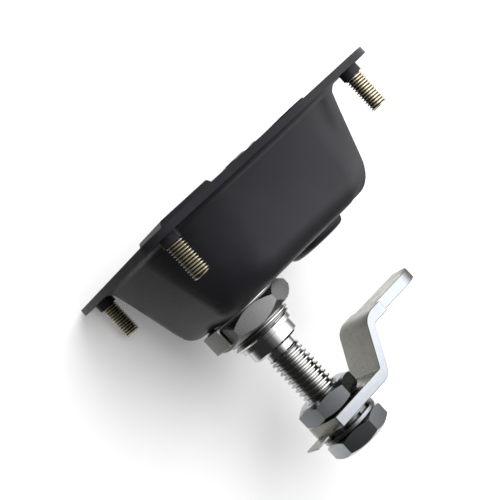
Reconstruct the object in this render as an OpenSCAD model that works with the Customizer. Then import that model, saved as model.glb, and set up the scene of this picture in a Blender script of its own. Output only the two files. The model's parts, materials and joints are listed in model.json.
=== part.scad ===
// Flush-mounted lift-and-turn compression latch for a toolbox lid.
// Row frame: the panel is the XZ plane at Y = 0, the front of the latch faces -Y,
// the spindle runs along +Y, and the cam points along -X when latched.
// Sub-parts are drawn in a bench frame whose z is the depth behind the flange's
// rear face, and seat() turns that depth axis onto +Y.

/* [Flange] */
// Length of the flange along X
flange_l = 82; // [80:0.5:96]
// Width of the flange along Z
flange_w = 82; // [80:0.5:96]
// Thickness of the pressed sheet
sheet_t = 2; // [1.6:0.1:2.4]
// Corner radius of the flange
flange_r = 8.5; // [4:0.5:12]

/* [Pan] */
// Length of the pan at its mouth along X
pan_l = 71.6; // [70:0.2:73]
// Width of the pan at its mouth along Z
pan_w = 70.8; // [69:0.2:73]
// How far the pan's middle sits from the flange's, toward the shaft
pan_shift = 0.5; // [0:0.1:1]
// Depth of the pan behind the flange
pan_depth = 26.2; // [25:0.2:30]
// Plan radius of the pan's corners at the mouth
pan_corner_r = 21.2; // [19:0.2:24]
// Mean draft of the walls in degrees
pan_draft = 16; // [13:0.1:18]
// How much steeper the shaft end is than the mean, in degrees
pan_draft_skew = 2.7; // [0:0.1:3]
// Radius between the end walls and the floor
pan_bottom_r = 4.4; // [4:0.2:6]
// How much wider that radius is along the side walls
pan_side_swell = 5.6; // [3:0.2:6]
// How much wider still it is at the four corners
pan_corner_swell = 4.6; // [2:0.2:5]
// Fillet between the flange and the walls
mouth_fillet = 2.4; // [2:0.2:3]

/* [Mounting studs] */
// Distance between studs along X
stud_pitch_l = 68; // [66:0.5:72]
// Distance between studs along Z
stud_pitch_w = 68; // [66:0.5:72]
// Thread diameter of the studs
stud_d = 5; // [4:0.5:6]
// Height of the studs behind the flange
stud_h = 12.6; // [9:0.2:20]
// Diameter of the collar round the root of a stud
collar_d = 5.6; // [5.2:0.1:8]
// Height of that collar
collar_h = 2.3; // [1:0.1:4]
// Sheet left in front of the welded end of a stud
stud_skin = 0.6; // [0.4:0.1:1]
// Chamfer at the end of a stud
stud_chamfer = 0.4; // [0.2:0.1:0.8]
// How much smaller in radius a stud is where it is welded into the sheet
stud_step = 0.3; // [0.2:0.1:0.6]

/* [Lock pocket] */
// Distance from the spindle to the lock's axis
lock_reach = 30.1; // [28:0.1:31]
// Outer radius of the lanced pocket in the floor
pocket_r = 10; // [9.5:0.1:11]
// How far the pocket stands out behind the floor
pocket_h = 2.9; // [2.6:0.1:3.6]
// Wall of the pocket where the sheet is stretched
pocket_wall = 1.4; // [1:0.1:1.6]
// Distance from the pocket's axis to its open lanced edge
lance_x = 6; // [5:0.1:7]

/* [Sleeve] */
// Distance from the middle of the flange to the spindle
shaft_x = 18.5; // [17:0.1:19]
// Thread diameter of the sleeve
sleeve_d = 18.8; // [18:0.1:20]
// Diameter of the shoulder inside the pan
shoulder_d = 22; // [21.5:0.1:23]
// Height of that shoulder
shoulder_h = 3; // [2:0.1:4]
// Diameter of the boss in front of the shoulder
boss_d = 17.4; // [16.5:0.1:18]
// Depth of the flat on that boss
boss_flat = 0.4; // [0.2:0.1:0.8]
// Length of thread left free behind the big nut
sleeve_spare = 2.4; // [1:0.1:6]
// Diameter of the relief behind the thread
relief_d = 16.3; // [15.5:0.1:17]
// Length of the relief with its cone
relief_l = 2; // [1.5:0.1:4]
// Diameter of the plain nose of the sleeve
nose_d = 14.7; // [14:0.1:15]
// Length of the plain nose
nose_l = 3.4; // [3:0.1:6]
// Depth of the spring chamber from the nose
chamber_l = 10.6; // [9.5:0.1:12]

/* [Nuts] */
// Width across flats of the big nut
big_nut_af = 23.4; // [22:0.1:26]
// Height of the big nut
big_nut_h = 5.8; // [4:0.1:8]
// Turn of the big nut about the spindle
big_nut_turn = 16.7; // [0:0.1:59]
// Width across flats of the two spindle nuts
nut_af = 16; // [15:0.1:18]
// Height of the two spindle nuts
nut_h = 5.6; // [4:0.1:8]
// Turn of the inner spindle nut
jam_nut_turn = 18.3; // [0:0.1:59]
// Turn of the end nut
end_nut_turn = 26.2; // [0:0.1:59]
// Width of the tab bent down beside the big nut
tab_w = 7.4; // [5:0.1:9]
// Thickness of the tab plate under the big nut
tab_plate_t = 0.8; // [0.4:0.1:1]

/* [Spindle] */
// Thread diameter of the spindle
spindle_d = 10; // [10:0.1:11]
// Diameter of the plain neck ahead of the thread
neck_d = 8.8; // [8.4:0.1:9]
// Length of that neck behind the sleeve
neck_l = 2.1; // [1:0.1:4]
// Thickness of the flat eye that carries the handle
eye_t = 7; // [6:0.1:8]
// Radius of the eye
eye_r = 5; // [4.6:0.1:5.2]
// Diameter of the hinge pin
pin_d = 5; // [4:0.1:5.2]
// Depth of the hinge pin's axis behind the flange's rear face
pin_depth = 2.5; // [2:0.1:3]
// Wire of the draw spring
spring_wire = 0.8; // [0.6:0.05:0.9]
// Turns of the draw spring
spring_turns = 5; // [4:1:6]
// Thickness of the spring clip at the spring's rear end
clip_t = 0.9; // [0.7:0.1:1]

/* [Cam and washers] */
// Depth of the cam's inner face
cam_depth = 63.4; // [58:0.1:66]
// Thickness of the cam
cam_t = 3.3; // [2.5:0.1:4]
// Thickness left in the stretched ramp
ramp_t = 2.3; // [2:0.1:2.5]
// Width of the cam
cam_w = 18.8; // [17.6:0.2:22]
// Width of the cam's narrowed tip
tip_w = 13; // [10:0.5:16]
// Offset of the cam's tip toward the panel
cam_rise = 12.5; // [8:0.1:15]
// Slope of the cam's ramp in degrees
ramp_angle = 60; // [45:1:70]
// Distance from the spindle to the foot of the ramp
ramp_start = 13; // [12:0.1:18]
// Reach of the cam from the spindle to its tip
cam_reach = 43.5; // [40:0.5:50]
// Length of the narrowed tip
tip_l = 17; // [12:0.5:19]
// How far the cam runs past the spindle on its short side
cam_heel = 5.9; // [5.6:0.1:8]
// Slant of that short end in degrees
heel_slant = 8.6; // [0:0.1:12]
// Radius on the tip's corner
tip_round = 6.5; // [2:0.5:6.5]
// Outer diameter of the tab washer
tab_washer_d = 16.4; // [15:0.1:18]
// Thickness of the tab washer
tab_washer_t = 0.6; // [0.4:0.1:1]
// Length of the tab washer's tongue from the spindle's axis
tongue_l = 12.7; // [11:0.1:16]
// Width of that tongue
tongue_w = 7; // [4:0.1:8]
// How far the tongue's middle lies off the spindle's axis
tongue_off = 1.3; // [0:0.1:3]
// Outer diameter of the toothed lock washer
star_d = 15.4; // [14.6:0.1:17]
// Thickness of the toothed lock washer
star_t = 0.9; // [0.6:0.1:1.2]
// Thickness of the flat washer
flat_washer_t = 1.1; // [0.8:0.1:2]
// Outer diameter of the flat washer
flat_washer_d = 17.4; // [16:0.1:20]

/* [Handle] */
// Radius of the handle's cam-shaped hub
hub_r = 11; // [10:0.1:11.5]
// Travel of the spindle as the handle lifts
draw = 4; // [3:0.1:4.5]
// Width of the hub along Z
hub_w = 21.6; // [19:0.1:22]
// How far the hub stands proud of the flange's front face
hub_proud = 2.2; // [1:0.1:3]
// How far the paddle stands proud of the flange's front face
paddle_proud = 1; // [0.2:0.1:1.5]
// Thickness of the paddle
paddle_t = 4.5; // [3:0.1:6]
// Width of the crossbar at the paddle's tail
tail_w = 39; // [30:0.5:42]
// Breadth of that crossbar
tail_b = 11; // [8:0.5:12]
// Distance from the spindle to the end of the tail
tail_reach = 48.3; // [46:0.1:49]
// Width of the paddle's waist
waist_w = 15; // [12:0.5:18]
// Thickness of the thrust washer under the hub
thrust_t = 1.5; // [1:0.1:2.5]

/* [Lock] */
// Diameter of the lock's barrel
barrel_d = 13; // [12:0.1:14]
// Diameter of the key plug
plug_d = 9; // [8:0.1:10]
// Wall of the handle round the barrel
lock_wall = 2; // [1.5:0.1:2.5]
// Reach of the lock's tongue from its axis
bolt_reach = 7.8; // [7:0.1:8]
// Thickness of the lock's tongue
bolt_t = 1; // [0.8:0.1:1.2]
// Diameter of the plug's tail, which carries the tongue
tail_d = 4.4; // [4:0.1:5]
// Width of the keyway
keyway_w = 1.2; // [1:0.1:2]
// Length of the keyway across the plug
keyway_l = 6; // [5:0.1:7]

/* [Hidden] */
$fn = 72;

// Clearances
run_gap = 0.05;      // between a shaft and the bore it turns in
slip_gap = 0.15;     // between a fixed piece and the hole it passes through
seat_gap = 0.02;     // between a pressed pin or ring and its seat
side_gap = 0.3;      // beside the eye in the hub's slot
coil_gap = 0.15;     // inside and outside the draw spring
end_gap = 0.1;       // past each end of the hinge pin
eps = 0.01;
far = 40;            // past anything that a cut has to clear

// Depth stations down the spindle, from the flange's rear face
floor_in = pan_depth - sheet_t;
plate_z = pan_depth;
big_nut_z = plate_z + tab_plate_t;
thread_end_z = big_nut_z + big_nut_h + sleeve_spare;
nose_z = thread_end_z + relief_l;
sleeve_end_z = nose_z + nose_l;
hub_foot_z = pin_depth + hub_r;
sleeve_top_z = hub_foot_z + thrust_t;
chamber_z = sleeve_end_z - chamber_l;
clip_z = sleeve_end_z - clip_t - 1.5;
spindle_thread_z = sleeve_end_z + neck_l;
jam_nut_z = cam_depth - nut_h;
tab_washer_z = cam_depth + cam_t;
star_z = tab_washer_z + tab_washer_t;
flat_washer_z = star_z + star_t;
end_nut_z = flat_washer_z + flat_washer_t;
spindle_tip_z = end_nut_z + nut_h + 0.3;

// Draw spring and the chamber round it
spring_mean_r = spindle_d / 2 + coil_gap + spring_wire / 2;
chamber_d = 2 * (spring_mean_r + spring_wire / 2 + coil_gap);

// Hinge pin, short of the hub's sides
pin_recess = 0.8;
pin_l = hub_w - 2 * pin_recess;

// Lock
lock_x = shaft_x - lock_reach;
pocket_x = lock_x - 0.4;
pocket_in_r = pocket_r - pocket_wall;
bolt_z = pan_depth + 0.2;
barrel_end_z = floor_in - 3.6;
clip_groove_z = barrel_end_z - 2.2;
clip_groove_d = barrel_d - 1.6;
barrel_clip_t = 1;
front_z = -sheet_t - paddle_proud;
crown_z = -sheet_t - hub_proud;

module seat() rotate([-90, 0, 0]) children();
module at_shaft(z = 0) translate([shaft_x, 0, z]) children();
module at_studs() for (sx = [-1, 1], sy = [-1, 1])
    translate([sx * stud_pitch_l / 2, sy * stud_pitch_w / 2, 0]) children();

// Rectangle with rounded corners, made of exact arcs
module round_rect(l, w, r) {
    square([l - 2 * r, w], center = true);
    square([l, w - 2 * r], center = true);
    for (sx = [-1, 1], sy = [-1, 1])
        translate([sx * (l / 2 - r), sy * (w / 2 - r)]) circle(r);
}

// Ring with a round hole
module ring(d, bore, h) difference() {
    cylinder(d = d, h = h);
    translate([0, 0, -eps]) cylinder(d = bore, h = h + 2 * eps);
}

// Hexagon nut, both faces chamfered from radius face_r at the given slope
module hex_nut(af, h, bore, turn, face_r, slope) difference() {
    intersection() {
        rotate([0, 0, turn]) cylinder(d = af / cos(30), h = h, $fn = 6);
        rotate_extrude() polygon([
            [0, 0], [face_r, 0], [face_r + h / 2 / tan(slope), h / 2], [face_r, h], [0, h]
        ]);
    }
    translate([0, 0, -eps]) cylinder(d = bore, h = h + 2 * eps);
    translate([0, 0, -eps]) cylinder(d1 = bore + 1.2, d2 = bore, h = 0.6);
    translate([0, 0, h - 0.6 + eps]) cylinder(d1 = bore, d2 = bore + 1.2, h = 0.6);
}

// Draft and bottom radius of the pan wall that faces the plan direction q
function wall_draft(q) = pan_draft - pan_draft_skew * cos(q);
function wall_bottom(q) = pan_bottom_r + pan_side_swell * pow(sin(q), 2)
    + pan_corner_swell * pow(sin(2 * q), 2);

// Inset of the wall's surface at depth z, t inward of the outer skin
function wall_inset(z, a, r, t) =
    let (c = (pan_depth - r + r * sin(a)) * tan(a) + r * cos(a),
         ri = r - t, zt = pan_depth - r + ri * sin(a))
    z <= zt ? c - ri * cos(a) - (zt - z) * tan(a)
            : c - sqrt(max(0, ri * ri - pow(z - pan_depth + r, 2)));
function mouth_flare(z, r) = z < r ? r - sqrt(max(0, r * r - pow(r - z, 2))) : 0;

// One level of the pan: four corner arcs about fixed centres
corner_steps = 9;
function pan_level(z, t) = [
    for (k = [0:3], j = [0:corner_steps])
        let (q = 90 * k + 90 * j / corner_steps,
             sx = (k == 0 || k == 3) ? 1 : -1, sy = k < 2 ? 1 : -1,
             flare = mouth_flare(z + t, mouth_fillet + t),
             rr = pan_corner_r - wall_inset(z, wall_draft(q), wall_bottom(q), t) + flare)
        [pan_shift + sx * (pan_l / 2 - pan_corner_r) + rr * cos(q),
         sy * (pan_w / 2 - pan_corner_r) + rr * sin(q), z]
];

// Solid skinned through closed levels of equal length
module skin(levels) {
    n = len(levels[0]);
    m = len(levels);
    polyhedron(
        points = [for (l = levels) each l],
        faces = [
            [for (i = [0:n - 1]) i],
            for (k = [0:m - 2], i = [0:n - 1])
                each [[k * n + i, (k + 1) * n + i, k * n + (i + 1) % n],
                      [k * n + (i + 1) % n, (k + 1) * n + i, (k + 1) * n + (i + 1) % n]],
            [for (i = [n - 1:-1:0]) (m - 1) * n + i]
        ],
        convexity = 4);
}

// Depths of the levels, close together at the mouth and the bottom radius
function pan_depths(z0, z1, fillet) = concat(
    [for (k = [0:4]) z0 + fillet * (1 - cos(18 * k))],
    [for (k = [1:3]) z0 + fillet + (z1 - z0 - fillet - pan_round) * k / 4],
    [for (k = [0:10]) z1 - pan_round * (1 - sin(9 * k))]);
pan_round = pan_bottom_r + pan_side_swell;

// The pan's solid to its outer skin (t = 0), or its hollow (t = sheet_t) open at the front
module pan_body(t) skin(concat(
    [[for (p = pan_level(-t, t)) [p.x, p.y, -2 * t - eps]]],
    [for (z = pan_depths(-t, pan_depth - t, mouth_fillet + t)) pan_level(z, t)]));

// Half section of the pocket: a round-edged disc that reaches root into the floor
module pocket_profile(r, h, root) {
    translate([0, -root]) square([r, root]);
    square([r - h, h]);
    intersection() {
        translate([r - h, 0]) circle(h);
        square([r, h]);
    }
}

// Half space on the spindle's side of the lanced edge
module lanced() intersection() {
    children();
    translate([pocket_x - lance_x, -40, 0]) cube([80, 80, 60]);
}

module tray() color("#2c2d30") seat() {
    difference() {
        union() {
            translate([0, 0, -sheet_t]) linear_extrude(sheet_t) round_rect(flange_l, flange_w, flange_r);
            pan_body(0);
            at_studs() cylinder(d = collar_d, h = collar_h);
            lanced() translate([pocket_x, 0, pan_depth])
                rotate_extrude() pocket_profile(pocket_r, pocket_h, sheet_t / 2);
        }
        pan_body(sheet_t);
        at_shaft(floor_in - 1) cylinder(d = sleeve_d + 2 * slip_gap, h = sheet_t + 2);
        lanced() translate([pocket_x, 0, pan_depth])
            rotate_extrude() pocket_profile(pocket_in_r, pocket_h - pocket_wall, sheet_t + 1);
        at_studs() {
            translate([0, 0, stud_skin - sheet_t])
                cylinder(d = stud_d - 2 * stud_step, h = sheet_t - stud_skin);
            translate([0, 0, -stud_seat]) cylinder(d = stud_d, h = collar_h + 1);
        }
    }
}

// Four studs welded into the flange, each with a chamfered end
stud_seat = 0.05;     // how far the full thread dips into the sheet
module mounting_studs() color("#cfc9b4") seat() at_studs() {
    d = stud_d - 2 * seat_gap;
    body_end = stud_h - stud_chamfer;
    translate([0, 0, stud_skin - sheet_t]) cylinder(d = d - 2 * stud_step, h = sheet_t - stud_skin);
    translate([0, 0, -stud_seat]) cylinder(d = d, h = body_end + stud_seat);
    translate([0, 0, body_end]) cylinder(d1 = d, d2 = d - 2 * stud_chamfer, h = stud_chamfer);
}

// Threaded sleeve with a D-shaped shoulder inside the pan and a plain nose behind
module sleeve() color("#c9cacb") seat() at_shaft() difference() {
    rotate_extrude() polygon([
        [0, sleeve_top_z], [boss_d / 2 - 0.6, sleeve_top_z], [boss_d / 2, sleeve_top_z + 0.6],
        [boss_d / 2, floor_in - shoulder_h], [shoulder_d / 2, floor_in - shoulder_h],
        [shoulder_d / 2, floor_in], [sleeve_d / 2, floor_in], [sleeve_d / 2, thread_end_z - 0.9],
        [relief_d / 2, thread_end_z], [relief_d / 2, nose_z - 0.3],
        [nose_d / 2, nose_z], [nose_d / 2, sleeve_end_z - 0.6],
        [nose_d / 2 - 0.6, sleeve_end_z], [0, sleeve_end_z]
    ]);
    translate([0, 0, sleeve_top_z - 1]) cylinder(d = spindle_d + 2 * run_gap, h = 2 * far);
    translate([0, 0, chamber_z]) cylinder(d = chamber_d, h = chamber_l + 1);
    // flat beside the end wall of the pan
    translate([boss_d / 2 - boss_flat, -far / 2, sleeve_top_z - 1])
        cube([far, far, floor_in + side_gap - sleeve_top_z + 1]);
}

// Thin plate under the big nut, with a tab bent down over one of its flats
tab_plate_d = big_nut_af + 0.4;
tab_near = 2.2;       // the tab's near edge from the middle of the nut's flat
tab_off = big_nut_af / 2 + side_gap;
tab_turn = 30 - big_nut_turn;
module tab_plate() color("#d4d4d2") seat() at_shaft(plate_z) {
    difference() {
        union() {
            cylinder(d = tab_plate_d, h = tab_plate_t);
            rotate([0, 0, -tab_turn]) translate([0, -tab_near, 0])
                cube([tab_off + tab_plate_t, tab_w, tab_plate_t]);
        }
        translate([0, 0, -1]) cylinder(d = sleeve_d + 2 * slip_gap, h = tab_plate_t + 2);
    }
    rotate([0, 0, -tab_turn]) translate([tab_off, -tab_near, 0])
        cube([tab_plate_t, tab_w, big_nut_h - 0.2]);
}

module big_nut() color("#9b9b9a") seat() at_shaft(big_nut_z)
    hex_nut(big_nut_af, big_nut_h, sleeve_d + 2 * seat_gap, big_nut_turn, big_nut_af * 0.493, 45);

// Bearing washer keyed on the spindle's flats, so that it turns with it
module thrust_washer() color("#b9b7ae") seat() at_shaft(hub_foot_z) difference() {
    cylinder(d = boss_d - 2 * boss_flat, h = thrust_t);
    translate([0, 0, -1]) intersection() {
        cylinder(d = spindle_d + 2 * slip_gap, h = thrust_t + 2);
        translate([-far / 2, -eye_t / 2 - slip_gap, 0])
            cube([far, eye_t + 2 * slip_gap, thrust_t + 2]);
    }
}

// Spindle: eye, full shank, neck and thread, turned from one bar
module spindle() color("#c6c7c8") seat() at_shaft() difference() {
    union() {
        translate([0, 0, pin_depth]) rotate([90, 0, 0]) translate([0, 0, -eye_t / 2])
            cylinder(r = eye_r, h = eye_t);
        intersection() {
            translate([-eye_r, -eye_t / 2, pin_depth])
                cube([2 * eye_r, eye_t, sleeve_top_z + draw - pin_depth + eps]);
            cylinder(d = spindle_d, h = sleeve_end_z);
        }
        translate([0, 0, sleeve_top_z + draw])
            cylinder(d = spindle_d, h = sleeve_end_z - sleeve_top_z - draw);
        translate([0, 0, sleeve_end_z - 1]) cylinder(d = neck_d, h = neck_l + 1 + eps);
        translate([0, 0, spindle_thread_z])
            cylinder(d1 = neck_d, d2 = spindle_d, h = 0.6);
        translate([0, 0, spindle_thread_z + 0.6])
            cylinder(d = spindle_d, h = spindle_tip_z - spindle_thread_z - 1.4);
        translate([0, 0, spindle_tip_z - 0.8])
            cylinder(d1 = spindle_d, d2 = spindle_d - 1.6, h = 0.8);
    }
    translate([0, 0, pin_depth]) rotate([90, 0, 0])
        cylinder(d = pin_d + 2 * run_gap, h = 2 * eye_t, center = true);
    translate([0, 0, clip_z]) ring(spindle_d + 2, neck_d, clip_t + 2 * seat_gap);
}

module hinge_pin() color("#b5b5b2") seat() at_shaft(pin_depth) rotate([90, 0, 0])
    cylinder(d = pin_d, h = pin_l, center = true);

// Open ring in the groove near the rear of the chamber
module spring_clip() color("#8f9092") seat() at_shaft(clip_z + seat_gap) difference() {
    ring(chamber_d - 2 * clip_rim, neck_d + 2 * seat_gap, clip_t);
    translate([0, -clip_mouth / 2, -1]) cube([far, clip_mouth, clip_t + 2]);
}
clip_rim = 0.4;       // from the clip's rim to the chamber's wall
clip_mouth = 3.2;

// Round wire spring between the chamber's shoulder and the clip
spring_steps = 14;
module draw_spring() color("#a7a8a8") seat() at_shaft() {
    z0 = chamber_z + spring_wire / 2 + run_gap;
    z1 = clip_z - spring_wire / 2 - run_gap;
    n = spring_turns * spring_steps;
    skin([for (k = [0:n])
        let (q = 360 * k / spring_steps, zc = z0 + (z1 - z0) * k / n)
        [for (j = [0:5]) let (p = -60 * j, rr = spring_mean_r + spring_wire / 2 * cos(p))
            [rr * cos(q), rr * sin(q), zc + spring_wire / 2 * sin(p)]]]);
}

module jam_nut() color("#8d8f92") seat() at_shaft(jam_nut_z)
    hex_nut(nut_af, nut_h, spindle_d + 2 * seat_gap, jam_nut_turn, nut_af * 0.457, 30);

module end_nut() color("#8d8f92") seat() at_shaft(end_nut_z)
    hex_nut(nut_af, nut_h, spindle_d + 2 * seat_gap, end_nut_turn, nut_af * 0.457, 30);

function unit(v) = v / norm(v);
// Corner b of the path a-b-c rounded to radius r, as n + 1 points
function bend(a, b, c, r, n = 8) =
    let (u = unit(a - b), w = unit(c - b), half = acos(u * w) / 2,
         m = b + unit(u + w) * r / sin(half),
         p = b + u * r / tan(half), q = b + w * r / tan(half),
         s = cross(p - m, q - m) > 0 ? 1 : -1, sweep = 180 - 2 * half)
    [for (k = [0:n]) let (t = s * sweep * k / n, d = p - m)
        m + [d.x * cos(t) - d.y * sin(t), d.x * sin(t) + d.y * cos(t)]];

// Side profile of the offset cam in x and depth, from the heel to the tip
module cam_profile() {
    ca = cos(ramp_angle);
    sa = sin(ramp_angle);
    foot = [-ramp_start, 0];
    head = [-ramp_start - cam_rise * ca / sa, -cam_rise];
    heel_in = [cam_heel + 8, 0];
    heel_out = [cam_heel + 8, cam_t];
    tip_in = [-cam_reach, -cam_rise];
    tip_out = [-cam_reach, -cam_rise + cam_t];
    low = (ramp_t * ca - cam_t) / sa;
    high = (ramp_t * ca + cam_rise - cam_t) / sa;
    foot_out = [foot.x - ramp_t * sa - low * ca, cam_t];
    head_out = [foot.x - ramp_t * sa - high * ca, -cam_rise + cam_t];
    polygon(concat(
        [heel_in], bend(heel_in, foot, head, 1), bend(foot, head, tip_in, 5),
        [tip_in, tip_out], bend(tip_out, head_out, foot_out, 1.8),
        bend(head_out, foot_out, heel_out, 4.2), [heel_out]));
}

// Plan outline of the cam, laid flat: slanted heel, full width, narrowed tip
module cam_outline() {
    near = -cam_w / 2;
    far = cam_w / 2;
    slant = tan(heel_slant);
    neck = -cam_reach + tip_l;
    tip_end = -cam_reach;
    polygon(concat(
        [[cam_heel, near]],
        bend([cam_heel, near], [cam_heel + slant * cam_w, far], [neck, far], 5),
        [[neck, far], [neck, tip_w / 2], [tip_end, tip_w / 2]],
        bend([tip_end, tip_w / 2], [tip_end, -tip_w / 2], [neck, -tip_w / 2], tip_round),
        [[neck, -tip_w / 2], [neck, near]]));
}

module cam() color("#9a9a90") seat() at_shaft(cam_depth) difference() {
    intersection() {
        translate([0, cam_w, 0]) rotate([90, 0, 0]) linear_extrude(2 * cam_w) cam_profile();
        translate([0, 0, -cam_rise - 5]) linear_extrude(cam_rise + 15) cam_outline();
    }
    translate([0, 0, -1]) cylinder(d = spindle_d + 2 * slip_gap, h = cam_t + 2);
}

module tab_washer() color("#cfcfcb") seat() at_shaft(tab_washer_z) difference() {
    union() {
        cylinder(d = tab_washer_d, h = tab_washer_t);
        translate([0, tongue_off - tongue_w / 2, 0]) cube([tongue_l, tongue_w, tab_washer_t]);
    }
    translate([0, 0, -1]) cylinder(d = spindle_d + 2 * slip_gap, h = tab_washer_t + 2);
}

// Lock washer with outer teeth
star_teeth = 10;
tooth_l = 1.1;
tooth_gap = 1.8;
module star_washer() color("#6f7072") seat() at_shaft(star_z) difference() {
    ring(star_d, spindle_d + 2 * slip_gap, star_t);
    for (k = [0:star_teeth - 1]) rotate([0, 0, 360 / star_teeth * (k + 0.5)])
        translate([star_d / 2 - tooth_l, -tooth_gap / 2, -1]) cube([far, tooth_gap, star_t + 2]);
}

module flat_washer() color("#d2d2ce") seat() at_shaft(flat_washer_z)
    ring(flat_washer_d, spindle_d + 2 * slip_gap, flat_washer_t);

// Plan outline of the paddle: hub end, waist, lock ring and swept crossbar
module paddle_outline() {
    bar_x = shaft_x - tail_reach + tail_b / 2;
    fillet = 5;
    translate([(shaft_x + bar_x) / 2 - 2, 0])
        square([shaft_x - bar_x - 4, waist_w], center = true);
    translate([lock_x, 0]) circle(barrel_d / 2 + lock_wall + 1);
    difference() {
        union() {
            translate([bar_x, 0]) square([tail_b, tail_w - tail_b], center = true);
            for (s = [-1, 1]) translate([bar_x, s * (tail_w - tail_b) / 2]) circle(tail_b / 2);
            translate([bar_x + tail_b / 2 - eps, -waist_w / 2 - fillet])
                square([fillet, waist_w + 2 * fillet]);
        }
        for (s = [-1, 1]) translate([bar_x + tail_b / 2 + fillet, s * (waist_w / 2 + fillet)])
            circle(fillet);
    }
}

// Flat crown with rounded ends, seen from the side
crown_half = sqrt(hub_r * hub_r - pow(crown_z - pin_depth, 2));
crown_r = 2;
module crown_profile() {
    translate([-hub_r - 1, crown_z + crown_r]) square([2 * hub_r + 2, 40]);
    for (s = [-1, 1]) translate([s * (crown_half - 0.6), crown_z + crown_r]) circle(crown_r);
    translate([-crown_half + 0.6, crown_z]) square([2 * crown_half - 1.2, crown_r + eps]);
}

module handle() color("#2c2d30") seat() difference() {
    union() {
        translate([0, 0, front_z]) linear_extrude(paddle_t) paddle_outline();
        at_shaft() intersection() {
            translate([-draw, 0, pin_depth]) rotate([90, 0, 0])
                cylinder(r = hub_r, h = hub_w, center = true, $fn = 96);
            translate([-draw, 0, 0]) rotate([90, 0, 0])
                linear_extrude(hub_w + 2, center = true) crown_profile();
        }
        translate([lock_x, 0, front_z])
            cylinder(d = barrel_d + 2 * lock_wall, h = clip_groove_z - side_gap - front_z);
    }
    // slot for the spindle's eye, open to the rear and the heel
    at_shaft() rotate([90, 0, 0]) translate([0, 0, -eye_t / 2 - side_gap])
        linear_extrude(eye_t + 2 * side_gap) {
            translate([0, pin_depth]) circle(eye_r + side_gap);
            translate([-eye_r - side_gap, pin_depth]) square([far, far]);
            translate([0, pin_depth - eye_r - side_gap]) square([far, far]);
        }
    at_shaft(pin_depth) rotate([90, 0, 0])
        cylinder(d = pin_d + 2 * seat_gap, h = pin_l + 2 * end_gap, center = true);
    translate([lock_x, 0, front_z - 1]) cylinder(d = barrel_d + 2 * seat_gap, h = far);
}

module lock_barrel() color("#b9babb") seat() translate([lock_x, 0, 0]) difference() {
    union() {
        translate([0, 0, front_z - 0.4]) cylinder(d = barrel_d - 1, h = 0.4 + eps);
        translate([0, 0, front_z]) cylinder(d = barrel_d, h = barrel_end_z - front_z);
    }
    translate([0, 0, front_z - 1]) cylinder(d = plug_d + 2 * run_gap, h = far);
    translate([0, 0, clip_groove_z]) ring(barrel_d + 2, clip_groove_d, barrel_clip_t + 2 * seat_gap);
}

// Clip that holds the barrel in the handle from behind
barrel_clip_rim = 1.3;
barrel_clip_mouth = 8;
module lock_clip() color("#8f9092") seat() translate([lock_x, 0, clip_groove_z + seat_gap])
    difference() {
        ring(barrel_d + 2 * barrel_clip_rim, clip_groove_d + 2 * seat_gap, barrel_clip_t);
        translate([0, -barrel_clip_mouth / 2, -1]) cube([far, barrel_clip_mouth, barrel_clip_t + 2]);
    }

keyway_deep = 8;
module key_plug() color("#c9cacb") seat() translate([lock_x, 0, 0]) difference() {
    union() {
        translate([0, 0, front_z - 0.3]) cylinder(d = plug_d, h = barrel_end_z + 0.4 - front_z);
        translate([0, 0, barrel_end_z]) cylinder(d = tail_d, h = bolt_z - barrel_end_z);
    }
    // keyway
    translate([-keyway_w / 2, -keyway_l / 2, front_z - 1]) cube([keyway_w, keyway_l, keyway_deep + 1]);
}

// Flat tongue at the end of the plug; it turns under the lanced edge
module lock_tongue() color("#b5b5b2") seat() translate([lock_x, 0, bolt_z + seat_gap])
    linear_extrude(bolt_t) {
        circle(d = tail_d);
        translate([-tail_d / 2, 0]) square([tail_d, bolt_reach - tail_d / 2]);
        translate([0, bolt_reach - tail_d / 2]) circle(d = tail_d);
    }

tray();
mounting_studs();
sleeve();
tab_plate();
big_nut();
thrust_washer();
spindle();
hinge_pin();
draw_spring();
spring_clip();
jam_nut();
cam();
tab_washer();
star_washer();
flat_washer();
end_nut();
handle();
lock_barrel();
lock_clip();
key_plug();
lock_tongue();
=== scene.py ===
"""Looks of the lift-and-turn toolbox latch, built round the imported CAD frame."""
import json
import math
from collections import namedtuple

import bmesh
import bpy
from mathutils import Matrix, Vector


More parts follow.
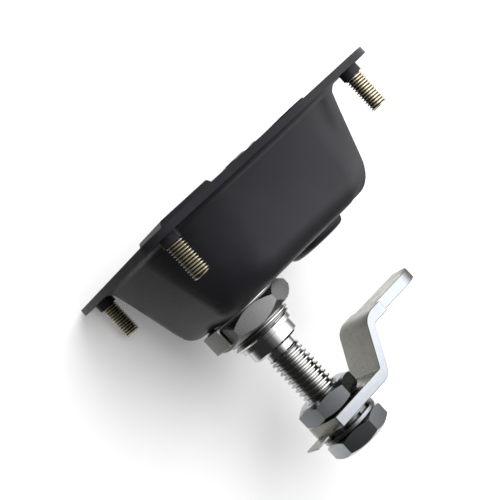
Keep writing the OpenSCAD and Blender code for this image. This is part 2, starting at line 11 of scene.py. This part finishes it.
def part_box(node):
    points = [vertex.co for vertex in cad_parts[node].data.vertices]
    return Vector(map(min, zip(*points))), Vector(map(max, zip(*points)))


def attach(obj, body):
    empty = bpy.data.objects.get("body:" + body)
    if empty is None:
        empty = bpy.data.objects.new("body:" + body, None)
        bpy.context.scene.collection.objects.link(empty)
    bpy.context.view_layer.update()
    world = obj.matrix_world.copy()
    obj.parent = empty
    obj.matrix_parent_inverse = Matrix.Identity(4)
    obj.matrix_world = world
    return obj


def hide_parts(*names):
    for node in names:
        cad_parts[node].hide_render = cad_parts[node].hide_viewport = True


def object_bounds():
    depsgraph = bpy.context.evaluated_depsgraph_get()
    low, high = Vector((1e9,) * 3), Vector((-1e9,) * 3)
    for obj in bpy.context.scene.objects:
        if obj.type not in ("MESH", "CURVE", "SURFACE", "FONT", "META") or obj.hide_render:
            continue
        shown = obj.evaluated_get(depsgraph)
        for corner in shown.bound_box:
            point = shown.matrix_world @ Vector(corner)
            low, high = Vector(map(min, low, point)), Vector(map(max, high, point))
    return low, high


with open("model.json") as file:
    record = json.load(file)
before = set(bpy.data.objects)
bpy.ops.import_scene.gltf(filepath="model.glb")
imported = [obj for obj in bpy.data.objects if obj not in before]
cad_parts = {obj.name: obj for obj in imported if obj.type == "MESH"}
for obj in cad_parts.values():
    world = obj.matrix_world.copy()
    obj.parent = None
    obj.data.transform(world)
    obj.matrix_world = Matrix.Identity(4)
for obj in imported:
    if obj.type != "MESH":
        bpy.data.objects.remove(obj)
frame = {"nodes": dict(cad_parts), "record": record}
CAD_BOX = [list(map(float, corner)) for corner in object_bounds()]
nodes = frame["nodes"]
MM = 0.001


# Places and sizes, in mm. The spindle's axis runs along Y, and a depth is a place along it
def node_span(name, axis):
    """Lowest and highest place of a node along one axis, 0 to 2."""
    low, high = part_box(name)
    return low[axis] / MM, high[axis] / MM


SHAFT_X = round(sum(node_span("spindle", 0)) / 2, 3)
SPINDLE_REAR = node_span("spindle", 1)[1]
SLEEVE_REAR = node_span("sleeve", 1)[1]
STUD_FRONT, STUD_REAR = node_span("mounting_studs", 1)


def node_radii(name, low, high):
    """Distances from the spindle's axis of a node's points between two depths, smallest first."""
    return sorted(round(math.hypot(point.co.x / MM - SHAFT_X, point.co.z / MM), 3)
                  for point in nodes[name].data.vertices if low <= point.co.y / MM <= high)


# Depths at which the real threads take over from the CAD's plain cylinders
SPINDLE_CUT = 43.1
SPINDLE_LAP = 0.2               # how far the thread starts inside the shank
SLEEVE_CUTS = 31.0, 35.5
SLEEVE_BORE = node_radii("sleeve", SLEEVE_CUTS[1], SLEEVE_REAR)[0]

STUD_MOUNT = next(m for m in frame["record"]["mounts"] if m["name"] == "studs")["dims"]
STUD_AT = STUD_MOUNT["spacing_x_mm"] / 2

# x and z: where the thread's axis passes
# taper_front and taper_rear: how much smaller in radius the thread is at its ends
# clean: how far in from the outer radius the crests stay free of the painted shade in the grooves
Thread = namedtuple("Thread", "x z radius pitch depth taper_front taper_rear clean")
SPINDLE_THREAD = Thread(
    SHAFT_X, 0, radius=node_radii("spindle", SPINDLE_CUT, SPINDLE_REAR)[-1], pitch=1.5, depth=0.86,
    taper_front=0.6, taper_rear=0.7, clean=0.4)
SLEEVE_THREAD = Thread(
    SHAFT_X, 0, radius=node_radii("sleeve", *SLEEVE_CUTS)[-1], pitch=1.31, depth=0.72,
    taper_front=0.0, taper_rear=0.6, clean=0.2)
STUD_THREAD = Thread(
    STUD_AT, STUD_AT, radius=STUD_MOUNT["stud_r_mm"], pitch=0.8, depth=0.5,
    taper_front=0.3, taper_rear=0.45, clean=0.2)
# Where a thread's flank ends at the crest and at the root, as shares of half a pitch, and how
# far the flank is rounded
CREST, ROOT, ROUNDING = 0.80, 0.26, 0.35


# Objects
def add_object(name, data):
    obj = bpy.data.objects.new(name, data)
    bpy.context.scene.collection.objects.link(obj)
    return obj


def to_object(name, bm):
    """Turns a bmesh into an object of the scene."""
    mesh = bpy.data.meshes.new(name)
    bm.to_mesh(mesh)
    bm.free()
    return add_object(name, mesh)


# Camera, fitted to the photograph: angles in degrees, place in mm
CAMERA_TURN, CAMERA_PITCH, CAMERA_ROLL = 24.600, 2.136, -1.931
CAMERA_PLACE = Vector((144.638, 4.959, 304.298)) * MM
FOCAL_PIXELS, PHOTO_PIXELS, SENSOR = 1243.24, 500, 36.0
CAMERA_CLIP = 0.01, 10


def add_camera():
    """Adds the camera, and gives its directions: across and along the spindle, and toward it."""
    turn, pitch, roll = (math.radians(a) for a in (CAMERA_TURN, CAMERA_PITCH, CAMERA_ROLL))
    ahead = Vector((-math.sin(turn) * math.cos(pitch), math.sin(pitch),
                    -math.cos(turn) * math.cos(pitch)))
    spindle = Vector((0, 1, 0))
    spindle = (spindle - ahead * spindle.dot(ahead)).normalized()
    side = spindle.cross(ahead)
    across = math.cos(roll) * side + math.sin(roll) * spindle
    along = -math.sin(roll) * side + math.cos(roll) * spindle
    # the photograph is turned 45 degrees against the spindle
    right = (across + along).normalized()
    up = (across - along).normalized()
    data = bpy.data.cameras.new("photo_camera")
    data.sensor_width = SENSOR
    data.lens = FOCAL_PIXELS * SENSOR / PHOTO_PIXELS
    data.clip_start, data.clip_end = CAMERA_CLIP
    camera = add_object("photo_camera", data)
    basis = Matrix((right, up, -ahead)).transposed().to_4x4()
    camera.matrix_world = Matrix.Translation(CAMERA_PLACE) @ basis
    bpy.context.scene.camera = camera
    return across, along, -ahead


ACROSS, ALONG, TOWARD = add_camera()


# Materials
class Nodes:
    """A short way to write a material's node tree."""

    def __init__(self, name):
        self.material = bpy.data.materials.new(name)
        self.material.use_nodes = True
        self.tree = self.material.node_tree
        self.shader = self.tree.nodes["Principled BSDF"]
        self.place = self.add("ShaderNodeTexCoord")
        self.coords = self.place.outputs["Object"]

    def add(self, kind, **values):
        """New node with its inputs or settings."""
        node = self.tree.nodes.new(kind)
        for key, value in values.items():
            if key in node.inputs:
                node.inputs[key].default_value = value
            else:
                setattr(node, key, value)
        return node

    def link(self, source, target):
        self.tree.links.new(source, target)

    def feed(self, target, value):
        """Gives an input another node's output, or a plain number or colour."""
        if isinstance(value, bpy.types.NodeSocket):
            self.link(value, target)
        elif target.type == "RGBA":
            target.default_value = (*value, 1)
        else:
            target.default_value = value

    def noise(self, scale, detail, rough=0.55, stretch=(1, 1, 1)):
        place = self.add("ShaderNodeMapping", Scale=stretch)
        self.link(self.coords, place.inputs["Vector"])
        texture = self.add("ShaderNodeTexNoise", Scale=scale, Detail=detail, Roughness=rough)
        self.link(place.outputs["Vector"], texture.inputs["Vector"])
        return texture.outputs["Fac"]

    def ramp(self, value, *stops):
        """Colour ramp over (position, colour) stops; a colour may be one grey number."""
        node = self.add("ShaderNodeValToRGB")
        elements = node.color_ramp.elements
        while len(elements) < len(stops):
            elements.new(0.5)
        for element, (place, colour) in zip(elements, stops):
            element.position = place
            if not hasattr(colour, "__len__"):
                colour = (colour,) * 3
            element.color = (*colour, 1)
        self.link(value, node.inputs["Fac"])
        return node.outputs["Color"]

    def mix(self, kind, share, one, other):
        """Colour mix; each part is a socket or a plain value."""
        node = self.add("ShaderNodeMix", data_type="RGBA", blend_type=kind)
        # a colour mix has its share at input 0 and its colours at 6 and 7
        for index, part in ((0, share), (6, one), (7, other)):
            self.feed(node.inputs[index], part)
        return node.outputs[2]

    def math(self, operation, *parts):
        node = self.add("ShaderNodeMath", operation=operation)
        for target, part in zip(node.inputs, parts):
            self.feed(target, part)
        return node.outputs[0]

    def between(self, value, low, high):
        """0 to 1 as a value passes from low to high."""
        node = self.add("ShaderNodeMapRange", **{"From Min": low, "From Max": high})
        self.link(value, node.inputs["Value"])
        return node.outputs["Result"]

    def split(self, vector):
        """The X, Y and Z outputs of a vector."""
        node = self.add("ShaderNodeSeparateXYZ")
        self.link(vector, node.inputs[0])
        return node.outputs

    def crests(self, thread):
        """0 in a thread's grooves to 1 on its crests, also for its mirror images in X and Z: the
        mask of the painted groove shade.
        """
        place = self.split(self.coords)
        away = []
        for socket, middle in ((place["X"], thread.x), (place["Z"], thread.z)):
            socket = self.math("SUBTRACT", self.math("ABSOLUTE", socket), middle * MM)
            away.append(self.math("MULTIPLY", socket, socket))
        return self.between(self.math("SQRT", self.math("ADD", *away)),
                            (thread.radius - thread.depth) * MM,
                            (thread.radius - thread.clean) * MM)

    def facing_z(self, low, high):
        """0 to 1 as the surface turns to face along Z, either way."""
        normal = self.split(self.place.outputs["Normal"])
        return self.between(self.math("ABSOLUTE", normal["Z"]), low, high)

    def bump(self, height, strength, distance, under=None):
        node = self.add("ShaderNodeBump", Strength=strength, Distance=distance)
        self.link(height, node.inputs["Height"])
        if under is not None:
            self.link(under, node.inputs["Normal"])
        return node.outputs["Normal"]

    def set(self, **values):
        """Feeds the shader's inputs by short names."""
        names = {"base": "Base Color", "metal": "Metallic", "rough": "Roughness",
                 "normal": "Normal", "specular": "Specular IOR Level",
                 "glow": "Emission Color", "glow_strength": "Emission Strength"}
        for key, value in values.items():
            self.feed(self.shader.inputs[names[key]], value)


def srgb(code):
    """Linear colour of a #rrggbb code."""
    parts = [int(code[i:i + 2], 16) / 255 for i in (1, 3, 5)]
    return tuple(c / 12.92 if c < 0.04045 else ((c + 0.055) / 1.055) ** 2.4 for c in parts)


MATERIALS = {}
# Directional grain that runs in rings round the spindle's axis
TURNED = (0.15, 12, 0.15)


def powder_coat(name, dark, light):
    """Fine-textured matte black powder coat."""
    n = Nodes(name)
    grain = n.noise(scale=2600, detail=3)
    blotch = n.noise(scale=90, detail=5)
    waves = n.bump(n.noise(scale=700, detail=3), strength=0.15, distance=0.00012)
    n.set(base=n.ramp(blotch, (0.3, srgb(dark)), (0.7, srgb(light))),
          rough=n.ramp(grain, (0.3, 0.36), (0.7, 0.46)),
          specular=0.2,
          normal=n.bump(grain, strength=0.25, distance=0.00006, under=waves))
    MATERIALS[name] = n.material


def plated(name, dark, light, rough, grain=(1, 1, 1), bump=0.08, scale=500, groove_shade=None,
           edge_highlight=None):
    """Plated steel with a fine directional grain and soft colour drift.

    rough: lowest and highest roughness. groove_shade: painted shade colour for a thread's grooves,
    and the
    thread. edge_highlight: painted highlight colour on the faces that face along Z, the sheared
    edges among them.
    """
    n = Nodes(name)
    drift = n.noise(scale=60, detail=4)
    lines = n.noise(scale=scale, detail=5, rough=0.6, stretch=grain)
    base = n.ramp(drift, (0.35, srgb(dark)), (0.65, srgb(light)))
    # Painted shade: a thread's grooves take a darker colour for the shade that falls in them.
    if groove_shade:
        groove_shade_colour, thread = groove_shade
        base = n.mix("MIX", n.crests(thread), srgb(groove_shade_colour), base)
    # Painted highlight: faces that face along Z, the sheared edges among them, take a brighter
    # colour.
    if edge_highlight:
        base = n.mix("MIX", n.facing_z(0.85, 0.97), base, srgb(edge_highlight))
    n.set(base=base, metal=1.0, rough=n.ramp(lines, (0.3, rough[0]), (0.7, rough[1])),
          normal=n.bump(lines, strength=bump, distance=0.00005))
    MATERIALS[name] = n.material


powder_coat("powder_coat", "#1c1c20", "#222226")
plated("bright_plate", "#bebebe", "#cecece", (0.05, 0.12), TURNED)
# The groove colours below are painted shade for the thread grooves.
plated("rolled_thread", "#c6c6c6", "#d6d6d6", (0.06, 0.14), TURNED,
       groove_shade=("#b4b4b0", SPINDLE_THREAD))
plated("turned_thread", "#c6c6c6", "#d6d6d6", (0.06, 0.14), TURNED,
       groove_shade=("#8a8a86", SLEEVE_THREAD))
plated("warm_nickel", "#d6cdb5", "#ece4cd", (0.2, 0.32), TURNED, groove_shade=("#4a4434", STUD_THREAD))
plated("satin_nut", "#a8a9a9", "#b4b5b4", (0.24, 0.3), bump=0.03, scale=300)
plated("spindle_nut", "#9aa0a4", "#a8adaf", (0.14, 0.22), bump=0.03, scale=300)
# Its last colour is a painted highlight on the faces that face along Z.
plated("zinc_plate", "#84837a", "#989790", (0.18, 0.32), bump=0.1, edge_highlight="#9b9fa4")
# Painted light: a lighter copy of the zinc plating, for the light the tab catches.
plated("tab_plate", "#b4b4ae", "#c4c4be", (0.3, 0.4), bump=0.06)
plated("spring_steel", "#6a6b6d", "#828384", (0.25, 0.4))
plated("bearing_brass", "#93804c", "#a8925c", (0.25, 0.4), TURNED)

# Material of each CAD node that stays
NODE_MATERIAL = {
    "tray": "powder_coat", "handle": "powder_coat", "tab_plate": "tab_plate",
    "big_nut": "satin_nut", "thrust_washer": "bearing_brass", "hinge_pin": "bright_plate",
    "draw_spring": "spring_steel", "spring_clip": "spring_steel", "jam_nut": "spindle_nut",
    "cam": "zinc_plate", "tab_washer": "zinc_plate", "star_washer": "spring_steel",
    "flat_washer": "zinc_plate", "end_nut": "spindle_nut", "lock_barrel": "bright_plate",
    "lock_clip": "spring_steel", "key_plug": "bright_plate", "lock_tongue": "zinc_plate",
}
# Round on the creases of a CAD node, in mm
NODE_BEVEL = {
    "cam": 0.25, "handle": 0.4, "tray": 0.3, "tab_washer": 0.1, "flat_washer": 0.15,
    "star_washer": 0.1, "tab_plate": 0.15,
}
BEVEL_STEPS = 2
# Angles in degrees past which an edge stays sharp, and under which faces count as flat
NUT_CREASE, CUT_CREASE, CREASE, BEVEL_CREASE, THREAD_CREASE = 18, 20, 32, 30, 50
FLAT = 1
# Gaps in metres under which points count as one
BEVEL_WELD, THREAD_WELD, CUT_WELD, THIN = 2e-6, 2e-7, 1e-7, 1e-7


def paint(obj, material):
    obj.data.materials.clear()
    obj.data.materials.append(MATERIALS[material])


def smooth(obj, crease):
    """Smooth shading with creases kept sharp, in place of any stored normals."""
    stored = obj.data.attributes.get("custom_normal")
    if stored:
        obj.data.attributes.remove(stored)
    obj.data.shade_smooth()
    obj.data.set_sharp_from_angle(angle=math.radians(crease))


def bevel(obj, width):
    """Small round on every crease, for the light it catches."""
    weld = obj.modifiers.new("weld", "WELD")
    weld.merge_threshold = BEVEL_WELD
    flat = obj.modifiers.new("flat", "DECIMATE")
    flat.decimate_type = "DISSOLVE"
    flat.angle_limit = math.radians(FLAT)
    edge = obj.modifiers.new("bevel", "BEVEL")
    edge.width = width * MM
    edge.segments = BEVEL_STEPS
    edge.limit_method = "ANGLE"
    edge.angle_limit = math.radians(BEVEL_CREASE)
    edge.use_clamp_overlap = True
    shade = obj.modifiers.new("normals", "WEIGHTED_NORMAL")
    shade.keep_sharp = True


# Threads
def thread_drop(phase, depth):
    """How far a thread's surface lies under its crest, phase 0 to 1 along one pitch."""
    height = abs((phase % 1.0) - 0.5) * 2
    if height >= CREST:
        return 0.0
    if height <= ROOT:
        return depth
    share = (CREST - height) / (CREST - ROOT)
    rounded = share * share * (3 - 2 * share)
    return depth * (rounded * ROUNDING + share * (1 - ROUNDING))


def about(x, z, radius, depth, turn):
    """Point at a radius and a turn, 0 to 1, about an axis along Y, in metres."""
    angle = 2 * math.pi * turn
    return (x + radius * math.cos(angle)) * MM, depth * MM, (z + radius * math.sin(angle)) * MM


def thread_column(bm, thread, x, z, low, high, turn, rows):
    """Points along a threaded rod at one turn; rows is how many there are to a pitch."""
    pitches = math.ceil((high - low) / thread.pitch) + 2
    column = []
    for j in range(pitches * rows + 1):
        depth = low + (j / rows - 1) * thread.pitch + thread.pitch * turn
        depth = min(max(depth, low), high)
        radius = min(
            thread.radius - thread_drop((depth - low) / thread.pitch - turn, thread.depth),
            thread.radius - thread.taper_front + (depth - low),
            thread.radius - thread.taper_rear + (high - depth))
        column.append(bm.verts.new(about(x, z, radius, depth, turn)))
    return column


def add_bore(bm, x, z, low, high, radius, outside):
    """Inner wall, and flat ends that join it to the columns outside."""
    steps = len(outside)
    inside = [[bm.verts.new(about(x, z, radius, depth, i / steps)) for depth in (low, high)]
              for i in range(steps)]
    for i in range(steps):
        k = (i + 1) % steps
        bm.faces.new((inside[i][0], inside[i][1], inside[k][1], inside[k][0]))
        bm.faces.new((inside[i][0], inside[k][0], outside[k][0], outside[i][0]))
        bm.faces.new((inside[i][1], outside[i][-1], outside[k][-1], inside[k][1]))


def thread_mesh(name, thread, low, high, sides=(1, 1), bore=0.0, steps=72, rows=10):
    """A threaded rod along Y, between two depths, on one side or the other in X and Z.

    Its rows follow the helix and are cut square at both ends.
    """
    bm = bmesh.new()
    x, z = thread.x * sides[0], thread.z * sides[1]
    columns = [thread_column(bm, thread, x, z, low, high, i / steps, rows) for i in range(steps)]
    if bore:
        add_bore(bm, x, z, low, high, bore, columns)
    for i, near in enumerate(columns):
        far = columns[(i + 1) % steps]
        # the helix closes on itself one pitch further along
        shift = rows if i == steps - 1 else 0
        for j in range(len(near) - 1 - shift):
            bm.faces.new((near[j], near[j + 1], far[j + 1 + shift], far[j + shift]))
    bmesh.ops.remove_doubles(bm, verts=bm.verts, dist=THREAD_WELD)
    bmesh.ops.dissolve_degenerate(bm, edges=bm.edges, dist=THIN)
    edges = [edge for edge in bm.edges if edge.is_boundary]
    if edges:
        bmesh.ops.holes_fill(bm, edges=edges, sides=0)
    bmesh.ops.recalc_face_normals(bm, faces=bm.faces)
    obj = to_object(name, bm)
    smooth(obj, THREAD_CREASE)
    return obj


def cut_copy(name, source, depth, keep, bored=False):
    """Front or rear of a CAD node, cut square at a depth and closed there."""
    bm = bmesh.new()
    bm.from_mesh(source.data)
    bmesh.ops.remove_doubles(bm, verts=bm.verts, dist=CUT_WELD)
    cut = bmesh.ops.bisect_plane(bm, geom=bm.verts[:] + bm.edges[:] + bm.faces[:],
                                 plane_co=(0, depth * MM, 0),
                                 plane_no=(0, 1 if keep == "front" else -1, 0),
                                 clear_outer=True)
    rim = [edge for edge in cut["geom_cut"] if isinstance(edge, bmesh.types.BMEdge)]
    if bored:
        bmesh.ops.bridge_loops(bm, edges=rim)
    else:
        bmesh.ops.holes_fill(bm, edges=rim, sides=0)
    obj = to_object(name, bm)
    smooth(obj, CUT_CREASE)
    return obj


def dress(piece, material, body):
    paint(piece, material)
    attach(piece, body)


def add_spindle():
    """The plain front part is the CAD's, and the rear is a real thread."""
    shank = cut_copy("spindle_shank", nodes["spindle"], SPINDLE_CUT, keep="front")
    rod = thread_mesh("spindle_thread", SPINDLE_THREAD, SPINDLE_CUT - SPINDLE_LAP, SPINDLE_REAR)
    dress(shank, "bright_plate", "drawbar")
    dress(rod, "rolled_thread", "drawbar")
    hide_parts("spindle")


def add_sleeve():
    """Front and nose are the CAD's, with a real thread between them."""
    front, rear = SLEEVE_CUTS
    base = cut_copy("sleeve_front", nodes["sleeve"], front, keep="front", bored=True)
    ring = thread_mesh("sleeve_thread", SLEEVE_THREAD, front, rear, bore=SLEEVE_BORE, steps=96)
    nose = cut_copy("sleeve_nose", nodes["sleeve"], rear, keep="rear", bored=True)
    dress(base, "bright_plate", "housing")
    dress(ring, "turned_thread", "housing")
    dress(nose, "bright_plate", "housing")
    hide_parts("sleeve")


def add_studs():
    """Four threads in the black collars of the tray."""
    for end, x_side in (("neg", -1), ("pos", 1)):
        for side, z_side in (("far", -1), ("near", 1)):
            stud = thread_mesh(f"stud_{end}_{side}", STUD_THREAD, STUD_FRONT, STUD_REAR,
                               sides=(x_side, z_side), steps=48, rows=8)
            dress(stud, "warm_nickel", "housing")
    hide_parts("mounting_studs")


def finish_nodes():
    """Materials and small rounds on the CAD nodes that stay."""
    for name, material in NODE_MATERIAL.items():
        paint(nodes[name], material)
        smooth(nodes[name], NUT_CREASE if name.endswith("nut") else CREASE)
    for name, width in NODE_BEVEL.items():
        bevel(nodes[name], width)


# The studio
STUDIO_MIDDLE = 0.03            # depth, in metres, that the floor and the lamp centre on
FLOOR_RADIUS, FLOOR_STEPS = 0.18, 96
FLOOR_SHADE, FLOOR_GLOW = 0.8, 0.15
WORLD_LIGHT, WORLD_WHITE = 0.3, 1.0
KEY_AIM = ACROSS * 0.75 + TOWARD - ALONG * 0.2
KEY_DISTANCE, KEY_SIZE, KEY_POWER = 0.7, (0.6, 0.85), 8.4

# What shiny surfaces see round the latch: angle from the camera's side toward the
# photograph's right, and brightness. A softbox on the right, black flags in front.
SCREEN_FRONT = (
    (-180, 0.4), (-130, 0.35), (-96, 0.25), (-80, 0.15), (-60, 0.12), (-30, 0.12), (-14, 0.5),
    (0, 0.5), (8, 0.4), (25, 0.3), (39, 0.7), (53, 2.4), (63, 3.1), (72, 2.2), (85, 1.2),
    (110, 0.5), (140, 0.4), (180, 0.4),
)
SCREEN_REAR = (
    (-180, 1.0), (-125, 1.1), (-104, 1.1), (-95, 0.5), (-82, 0.1), (-72, 0.04), (-33, 0.04),
    (-25, 0.08), (-8, 0.25), (2, 0.85), (14, 1.6), (30, 2.6), (66, 3.0), (83, 2.4), (100, 1.2),
    (120, 0.4), (140, 0.3), (180, 1.0),
)
SCREEN_PEAK = max(level for _, level in SCREEN_FRONT + SCREEN_REAR)
# Depths, in metres, between which the front passes into the rear, and the rear into its end
SCREEN_STEP, SCREEN_END = (0.024, 0.033), (0.072, 0.10)
SCREEN_REST = 0.2               # share of the light that is left past the end
SCREEN_RADIUS, SCREEN_REACH, SCREEN_STEPS = 0.062, 0.3, 64


def add_floor():
    """Plain pale disc that reads white to the camera and in metal, and keeps the shadow."""
    n = Nodes("floor_white")
    rays = n.add("ShaderNodeLightPath").outputs
    seen = n.math("MAXIMUM", rays["Is Camera Ray"], rays["Is Glossy Ray"])
    seen = n.math("MAXIMUM", seen, rays["Is Transmission Ray"])
    n.set(base=(FLOOR_SHADE,) * 3, rough=0.9, specular=0.0, glow=(1, 1, 1),
          glow_strength=n.math("MULTIPLY", seen, FLOOR_GLOW))
    ring = [2 * math.pi * i / FLOOR_STEPS for i in range(FLOOR_STEPS)]
    mesh = bpy.data.meshes.new("floor")
    mesh.from_pydata([(SHAFT_X * MM + FLOOR_RADIUS * math.cos(q),
                       STUDIO_MIDDLE + FLOOR_RADIUS * math.sin(q), CAD_BOX[0][2]) for q in ring],
                     [], [range(FLOOR_STEPS)])
    mesh.materials.append(n.material)
    add_object("floor", mesh)


def add_key_light():
    """Soft rectangle that looks at the middle of the latch, out of sight of shiny surfaces."""
    data = bpy.data.lights.new("key", "AREA")
    data.shape = "RECTANGLE"
    data.size, data.size_y = KEY_SIZE
    data.energy = KEY_POWER
    lamp = add_object("key", data)
    aim = KEY_AIM.normalized()
    lamp.location = Vector((0, STUDIO_MIDDLE, 0)) + aim * KEY_DISTANCE
    lamp.rotation_euler = aim.to_track_quat("Z", "Y").to_euler()
    lamp.visible_glossy = False


def add_world():
    """Plain light from all sides, white to the camera."""
    world = bpy.data.worlds.new("studio")
    bpy.context.scene.world = world
    world.use_nodes = True
    tree = world.node_tree
    path = tree.nodes.new("ShaderNodeLightPath")
    mix = tree.nodes.new("ShaderNodeMix")
    mix.data_type = "FLOAT"
    mix.inputs["A"].default_value = WORLD_LIGHT
    mix.inputs["B"].default_value = WORLD_WHITE
    tree.links.new(path.outputs["Is Camera Ray"], mix.inputs["Factor"])
    back = tree.nodes["Background"]
    back.inputs["Color"].default_value = (1, 1, 1, 1)
    tree.links.new(mix.outputs["Result"], back.inputs["Strength"])


def screen_material():
    """Light that changes round the latch and along it."""
    n = Nodes("screen_light")
    n.tree.nodes.remove(n.shader)
    place = n.split(n.coords)
    # angle about the latch, measured from the camera's direction toward -X
    angle = n.math("ARCTAN2", place["X"], place["Z"])
    turn = n.math("SUBTRACT", math.atan2(TOWARD.x, TOWARD.z), angle)
    wrapped = n.math("WRAP", turn, math.pi, -math.pi)
    share = n.math("MULTIPLY_ADD", wrapped, 1 / (2 * math.pi), 0.5)
    front, rear = (n.ramp(share, *(((degrees + 180) / 360, level / SCREEN_PEAK)
                                   for degrees, level in stops))
                   for stops in (SCREEN_FRONT, SCREEN_REAR))
    light = n.mix("MIX", n.between(place["Y"], *SCREEN_STEP), front, rear)
    lost = n.math("MULTIPLY", n.between(place["Y"], *SCREEN_END), 1.0 - SCREEN_REST)
    glow = n.add("ShaderNodeEmission", Strength=SCREEN_PEAK)
    n.link(n.mix("MULTIPLY", 1.0, light, n.math("SUBTRACT", 1.0, lost)), glow.inputs["Color"])
    n.link(glow.outputs[0], n.tree.nodes["Material Output"].inputs["Surface"])
    return n.material


def add_screen():
    """Round studio screen about the latch, seen by shiny surfaces only."""
    bm = bmesh.new()
    rings = [[bm.verts.new((SCREEN_RADIUS * math.cos(2 * math.pi * i / SCREEN_STEPS), depth,
                            SCREEN_RADIUS * math.sin(2 * math.pi * i / SCREEN_STEPS)))
              for i in range(SCREEN_STEPS)] for depth in (-SCREEN_REACH, SCREEN_REACH)]
    for i in range(SCREEN_STEPS):
        k = (i + 1) % SCREEN_STEPS
        bm.faces.new((rings[0][i], rings[0][k], rings[1][k], rings[1][i]))
    screen = to_object("screen", bm)
    screen.data.materials.append(screen_material())
    for ray in ("camera", "diffuse", "shadow", "transmission", "volume_scatter"):
        setattr(screen, "visible_" + ray, False)


add_spindle()
add_sleeve()
add_studs()
finish_nodes()
add_floor()
add_world()
add_screen()
add_key_light()

bpy.context.scene.view_settings.view_transform = "Standard"
bpy.context.view_layer.update()
